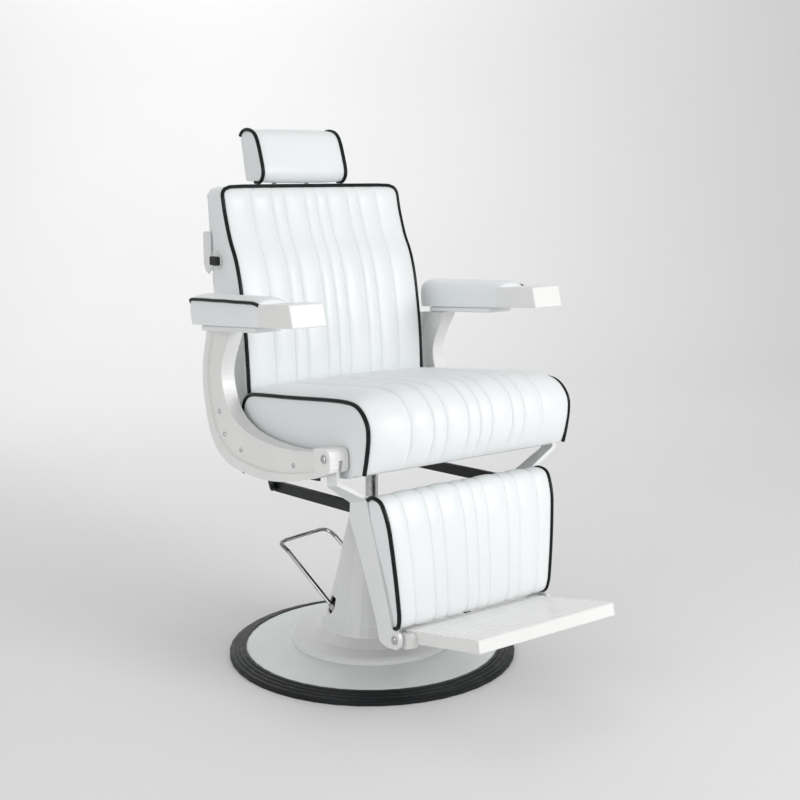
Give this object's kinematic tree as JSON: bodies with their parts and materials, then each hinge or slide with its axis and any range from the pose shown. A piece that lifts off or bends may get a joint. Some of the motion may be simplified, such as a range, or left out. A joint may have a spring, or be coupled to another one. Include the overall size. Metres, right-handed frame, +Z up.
{
  "type": "barber chair",
  "caption": "Barber chair on a round base with a pump-lifted swivel seat, armrests, reclining back, height-set headrest and a linked legrest with a ribbed footplate.",
  "frame": {"origin": "centre of the base, on the floor", "axes": "+Z up, the sitter faces -Y, +X to the sitter's left"},
  "size_m": [0.708, 0.9566, 1.1865],
  "materials": {
    "white_metal": "white powder coat",
    "white_casting": "white powder-coated casting",
    "white_shell": "moulded white shell",
    "white_vinyl": "white vinyl over foam, black piping",
    "white_vinyl_board": "white vinyl over a board",
    "rubber": "black, satin",
    "chrome": "polished",
    "steel": "satin",
    "black_metal": "black powder coat",
    "black_plastic": "moulded",
    "plywood": "bare"
  },
  "bodies": {
    "base": {"base_disc": "white_metal", "base_ring": "rubber", "pedestal_cone": "white_metal", "pump_cylinder": "steel", "cylinder_gland": "rubber", "lever_bracket": "steel"},
    "pump_lever": {"pump_lever": "chrome", "lever_shaft": "steel"},
    "lift": {"lift_ram": "steel"},
    "seat": {"swivel_hub": "black_metal", "seat_frame": "black_metal", "seat_board": "plywood", "seat_pad": "white_vinyl", "lock_cylinder": "black_metal", "arm_frame_left": "white_casting", "pivot_housing_left": "white_casting", "legrest_bolt_left": "steel", "back_bolt_left": "steel", "arm_plate_left": "white_metal", "arm_pad_left": "white_vinyl", "arm_cap_left": "white_casting", "arm_frame_right": "white_casting", "pivot_housing_right": "white_casting", "legrest_bolt_right": "steel", "back_bolt_right": "steel", "arm_plate_right": "white_metal", "arm_pad_right": "white_vinyl", "arm_cap_right": "white_casting", "frame_screw_left_1": "steel", "frame_screw_left_2": "steel", "frame_screw_left_3": "steel", "frame_screw_left_4": "steel", "frame_screw_right_1": "steel", "frame_screw_right_2": "steel", "frame_screw_right_3": "steel", "frame_screw_right_4": "steel"},
    "lock_rod": {"lock_rod": "steel"},
    "back": {"back_frame": "black_metal", "back_pad": "white_vinyl", "back_shell": "white_shell", "headrest_socket": "white_casting", "recline_bracket": "white_metal"},
    "release": {"release_lever": "white_metal", "release_block": "black_plastic"},
    "headrest": {"headrest_pad": "white_vinyl", "headrest_board": "white_vinyl_board", "headrest_post_left": "chrome", "headrest_post_right": "chrome"},
    "legrest": {"legrest_arm_left": "white_metal", "legrest_arm_right": "white_metal", "legrest_board": "black_metal", "legrest_pad": "white_vinyl", "foot_bolt_left": "steel", "foot_bolt_right": "steel"},
    "links": {"link_left": "black_metal", "link_right": "black_metal"},
    "footplate": {"footplate": "white_casting", "foot_bracket_left": "white_casting", "foot_bracket_right": "white_casting"}
  },
  "joints": [
    {"name": "pump_stroke", "type": "hinge", "parent": "base", "child": "pump_lever", "pos_m": [-0.01072, 0.04679, 0.11], "axis": [0.9748, 0.2233, 0], "range_deg": [-20, 0], "stiffness_Nm_per_rad": 30, "springref_deg": 114.59},
    {"name": "lift_slide", "type": "slide", "parent": "base", "child": "lift", "axis": [0, 0, 1], "range_m": [0, 0.15]},
    {"name": "seat_swivel", "type": "hinge", "parent": "lift", "child": "seat", "pos_m": [0, 0, 0.43], "axis": [0, 0, 1], "continuous": true},
    {"name": "back_recline", "type": "hinge", "parent": "seat", "child": "back", "pos_m": [0, 0.085, 0.525], "axis": [-1, 0, 0], "range_deg": [0, 45]},
    {"name": "legrest_swing", "type": "hinge", "parent": "seat", "child": "legrest", "pos_m": [0, -0.281, 0.545], "axis": [-1, 0, 0], "range_deg": [0, 45]},
    {"name": "link_swing", "type": "hinge", "parent": "back", "child": "links", "pos_m": [0, 0.087, 0.401], "axis": [-1, 0, 0], "range_deg": [-45, 0]},
    {"name": "lock_slide", "type": "slide", "parent": "seat", "child": "lock_rod", "axis": [0, -0.9954, 0.0958], "range_m": [0, 0.0598]},
    {"name": "headrest_height", "type": "slide", "parent": "back", "child": "headrest", "axis": [0, 0.0872, 0.9962], "range_m": [0, 0.08]},
    {"name": "release_pull", "type": "hinge", "parent": "back", "child": "release", "pos_m": [-0.247, 0.236, 0.896], "axis": [1, 0, 0], "range_deg": [0, 18], "stiffness_Nm_per_rad": 2, "springref_deg": -114.59},
    {"name": "footplate_tilt", "type": "hinge", "parent": "legrest", "child": "footplate", "pos_m": [0, -0.364, 0.177], "axis": [-1, 0, 0], "range_deg": [-25, 6]}
  ],
  "couplings": [
    {"joint": "legrest_swing", "follows": "back_recline", "ratio": 1},
    {"joint": "link_swing", "follows": "back_recline", "ratio": -1},
    {"joint": "lock_slide", "follows": "back_recline", "m_per_rad": 0.076}
  ]
}
